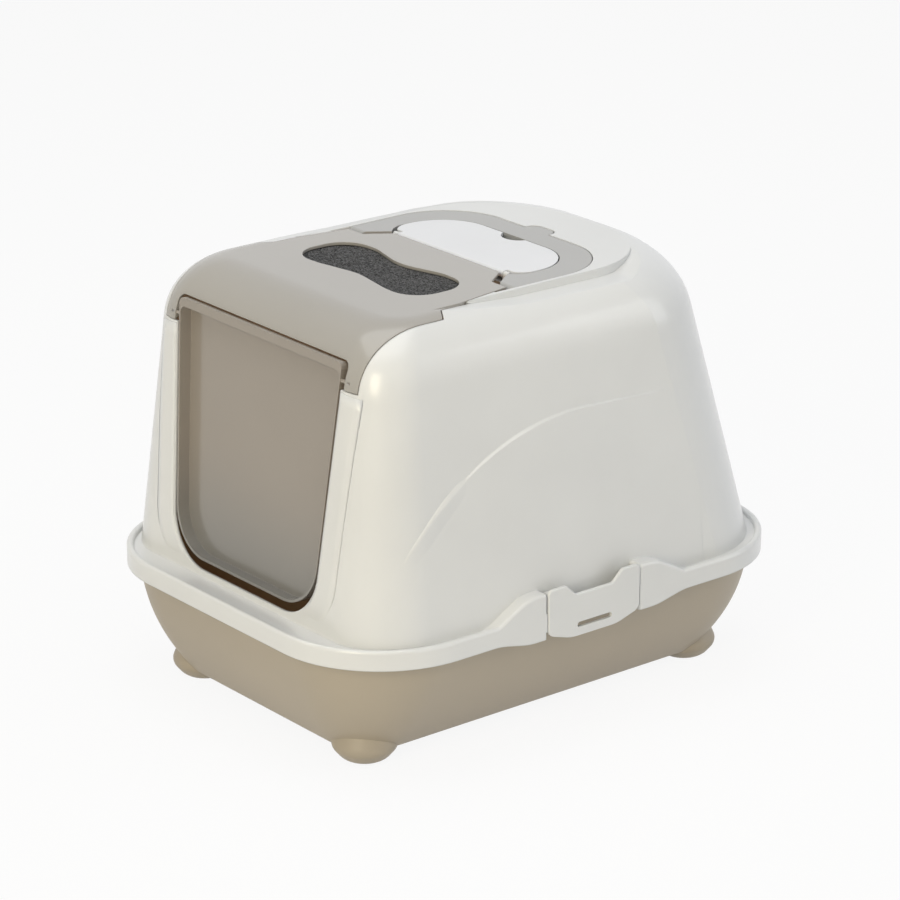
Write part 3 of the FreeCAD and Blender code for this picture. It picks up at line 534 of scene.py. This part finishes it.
def strip_piece(name, shape, material):
    """The closed strips as one smooth piece."""
    bmesh.ops.remove_doubles(shape, verts=shape.verts, dist=MERGE_DISTANCE)
    bmesh.ops.dissolve_degenerate(shape, edges=shape.edges, dist=MERGE_DISTANCE)
    bmesh.ops.recalc_face_normals(shape, faces=shape.faces)
    mesh = bpy.data.meshes.new(name)
    shape.to_mesh(mesh)
    shape.free()
    smooth_faces(mesh)
    mesh.materials.append(material)
    return new_piece(name, mesh)


# Border beside the entrance

ENTRANCE_LOW = 123 * MM
ENTRANCE_HIGH = 346 * MM
ENTRANCE_HALF_LOW = 97 * MM
ENTRANCE_HALF_HIGH = 114 * MM
ENTRANCE_CORNER = 45 * MM
BORDER_HIGH = 323 * MM
BORDER_LOW = 122.8 * MM
BORDER_FADE = 30 * MM
BORDER_INNER = 0.6 * MM
BORDER_OUTER = 25 * MM
BORDER_NARROWEST = 2.4 * MM
BORDER_INNER_SLOPE = 0.12
BORDER_OUTER_SLOPE = 0.3
BORDER_HEIGHT = 1.3 * MM
BORDER_ROOT = 0.5 * MM
BORDER_ROWS = 16
SIDE_STEPS = 16
ARC_STEPS = 14
BEFORE_THE_BOX = -1.0
REARWARD = Vector((0.0, 1.0, 0.0))


def entrance_path():
    """Right half of the entrance edge from the visor's leg to the sill: (x, z, outward x, outward z)."""
    rise = ENTRANCE_HIGH - ENTRANCE_LOW
    slope = math.atan2(ENTRANCE_HALF_HIGH - ENTRANCE_HALF_LOW, rise)
    out_x = math.cos(slope)
    out_z = -math.sin(slope)
    turn = math.pi / 2 - slope
    reach = ENTRANCE_CORNER * math.tan(turn / 2)
    corner_z = ENTRANCE_LOW + ENTRANCE_CORNER
    corner_x = ENTRANCE_HALF_LOW + reach * math.sin(slope) - ENTRANCE_CORNER * out_x
    end_z = ENTRANCE_LOW + reach * math.cos(slope)
    path = []
    for step in range(SIDE_STEPS):
        z = BORDER_HIGH + (end_z - BORDER_HIGH) * step / SIDE_STEPS
        path.append((ENTRANCE_HALF_LOW + (z - ENTRANCE_LOW) * math.tan(slope), z, out_x, out_z))
    for step in range(ARC_STEPS + 1):
        angle = -slope - turn * step / ARC_STEPS
        x = math.cos(angle)
        z = math.sin(angle)
        path.append((corner_x + ENTRANCE_CORNER * x, corner_z + ENTRANCE_CORNER * z, x, z))
    return path


def border_profile(share):
    """Height of the border from the entrance edge (0) to its outer end (1)."""
    return eased(min(share / BORDER_INNER_SLOPE, (1.0 - share) / BORDER_OUTER_SLOPE))


def entrance_border(name, node, material):
    """Low border on the hood's front wall, which sinks into the wall above the ledge."""
    wall = surface_of(node)
    shape = bmesh.new()
    for side in (1, -1):
        rows = []
        for x, z, out_x, out_z in entrance_path():
            row = []
            reach = BORDER_OUTER
            if z + out_z * reach < BORDER_LOW:
                reach = (z - BORDER_LOW) / -out_z
            if reach < BORDER_NARROWEST:
                break
            for step in range(BORDER_ROWS + 1):
                away = BORDER_INNER + (reach - BORDER_INNER) * step / BORDER_ROWS
                place = Vector((side * (x + out_x * away), BEFORE_THE_BOX, z + out_z * away))
                spot, normal = wall.ray_cast(place, REARWARD)[:2]
                full = min(1.0, max(0.0, (place.z - BORDER_LOW) / BORDER_FADE))
                height = BORDER_HEIGHT * border_profile(away / BORDER_OUTER) * full - EDGE_SINK * (1.0 - full)
                row.append((shape.verts.new(spot + normal * height),
                            shape.verts.new(spot - normal * BORDER_ROOT)))
            rows.append(row)
        close_strip(shape, rows)
    return strip_piece(name, shape, material)


# Lower end of the sweep line, round the hood's front corner

TAIL_CURVE = (
    Vector((168.1, -107.7, 252.0)) * MM,
    Vector((170.1, -140.5, 233.0)) * MM,
    Vector((173.7, -171.1, 206.1)) * MM,
    Vector((167.6, -189.3, 173.2)) * MM,
)
TAIL_STATIONS = 40
TAIL_ROWS = 16
TAIL_BELOW = 18 * MM
TAIL_ABOVE = 2.5 * MM
TAIL_HEIGHT = 1.3 * MM
TAIL_ROOT = 1.2 * MM
TAIL_RISE_SHARE = 0.35
TAIL_FALL_SHARE = 0.5
TAIL_RAY = 40 * MM
WALL_LEAN = 0.11
CORNER_FROM = 0.45
CORNER_TURN = 0.6


def tail_profile(away):
    """Height across the ridge: steep above the line, fading slowly below it."""
    if away < 0:
        return eased(1.0 + away / TAIL_BELOW)
    return eased(1.0 - away / TAIL_ABOVE)


def sweep_tail(name, node, material):
    """Low ridge that leads the side panel's sweep line down to the front corner."""
    wall = surface_of(node)
    curve = geometry.interpolate_bezier(*TAIL_CURVE, TAIL_STATIONS)
    shape = bmesh.new()
    for side in (1, -1):
        path = [Vector((side * point.x, point.y, point.z)) for point in curve]
        rows = []
        for index in range(1, TAIL_STATIONS - 1):
            share = index / (TAIL_STATIONS - 1)
            turn = CORNER_TURN * max(0.0, share - CORNER_FROM) / (1.0 - CORNER_FROM)
            outward = Vector((side * math.cos(turn), -math.sin(turn), WALL_LEAN)).normalized()
            along = (path[index + 1] - path[index - 1]).normalized()
            above = along.cross(outward) * side
            taper = eased(share / TAIL_RISE_SHARE) * eased((1.0 - share) / TAIL_FALL_SHARE)
            row = []
            for step in range(TAIL_ROWS + 1):
                away = (TAIL_BELOW + TAIL_ABOVE) * step / TAIL_ROWS - TAIL_BELOW
                place = path[index] + above * away + outward * TAIL_RAY
                spot = wall.ray_cast(place, -outward)[0]
                height = (TAIL_HEIGHT + EDGE_SINK) * tail_profile(away) * taper - EDGE_SINK
                row.append((shape.verts.new(spot + outward * height),
                            shape.verts.new(spot - outward * TAIL_ROOT)))
            rows.append(row)
        close_strip(shape, rows)
    return strip_piece(name, shape, material)


# The set

bpy.context.scene.view_settings.view_transform = "Standard"
studio_camera()
white_surroundings()
studio_floor()
softbox("top_softbox", place=(-0.2, -0.3, 2.6), aim=(0.0, 0.0, 0.25),
        width=2.4, height=2.4, watts=31.0, colour=COOL_TOP)
softbox("front_softbox", place=(1.25, -2.65, 1.3), aim=(0.0, 0.0, 0.2),
        width=1.0, height=1.8, watts=38.0, colour=WARM_FRONT)
softbox("side_softbox", place=(2.0, 2.5, 1.2), aim=(0.0, 0.0, 0.2),
        width=1.4, height=1.8, watts=16.0, colour=COOL_SIDE)
cabin_glow(place=(0.0, -0.05, 0.26), radius=0.05, watts=0.12, colour=AMBER_CABIN)

# Finishes of the mouldings

hood_pearl = moulded("hood_pearl", IVORY, 0.3, coat=0.35, coat_rough=0.12, edge=2 * MM)
latch_pearl = moulded("latch_pearl", IVORY, 0.34, coat=0.25, coat_rough=0.14, edge=1 * MM)
visor_gloss = moulded("visor_gloss", TAUPE, 0.26, coat=0.4, edge=1 * MM)
tray_satin = moulded("tray_satin", SAND, 0.5, edge=1.2 * MM)
handle_gloss = moulded("handle_gloss", CLOUD_GREY, 0.32, coat=0.25)
lid_white = moulded("lid_white", PEARL_WHITE, 0.34, coat=0.2)
# The door's smoke is painted darker towards the bottom, a painted shade
door_smoke = moulded("door_smoke", SMOKE, 0.2, low_painted_shade=DOOR_LOW_PAINTED_SHADE, low_from=110 * MM, low_to=240 * MM,
                     transmission=0.15, coat=0.3, ior=1.49, edge=0.5 * MM)
pin_satin = moulded("pin_satin", CLOUD_GREY, 0.45, grain=SATIN_GRAIN)
retainer_satin = moulded("retainer_satin", TAUPE, 0.45, grain=SATIN_GRAIN)
foam_dark = foam("foam_dark", CHARCOAL, ASH)
granule_grey = moulded("granule_grey", GRANULE_GREY, 0.85, drift=0.5, drift_scale=420.0,
                       grain=0.05 * MM, edge=0.0)

finish("hood", hood_pearl)
finish("latch_right", latch_pearl)
finish("latch_left", latch_pearl)
finish("visor", visor_gloss)
finish("tray", tray_satin)
finish("carry_handle", handle_gloss)
finish("storage_lid", lid_white)
finish("storage_lid_pins", pin_satin)
finish("visor_hinge_pins", pin_satin)
finish("filter_retainer", retainer_satin)
finish("swing_door", door_smoke)

# Pieces that only the scene has

filter_foam = foam_pad("filter_foam", "filter_pad", foam_dark)
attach(filter_foam, "front_visor")
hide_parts("filter_pad")
carbon_grains = scattered_grains("carbon_grains", filter_foam, granule_grey)
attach(carbon_grains, "front_visor")

border = entrance_border("entrance_border", "hood", hood_pearl)
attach(border, "base")
tail = sweep_tail("sweep_tail", "hood", hood_pearl)
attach(tail, "base")
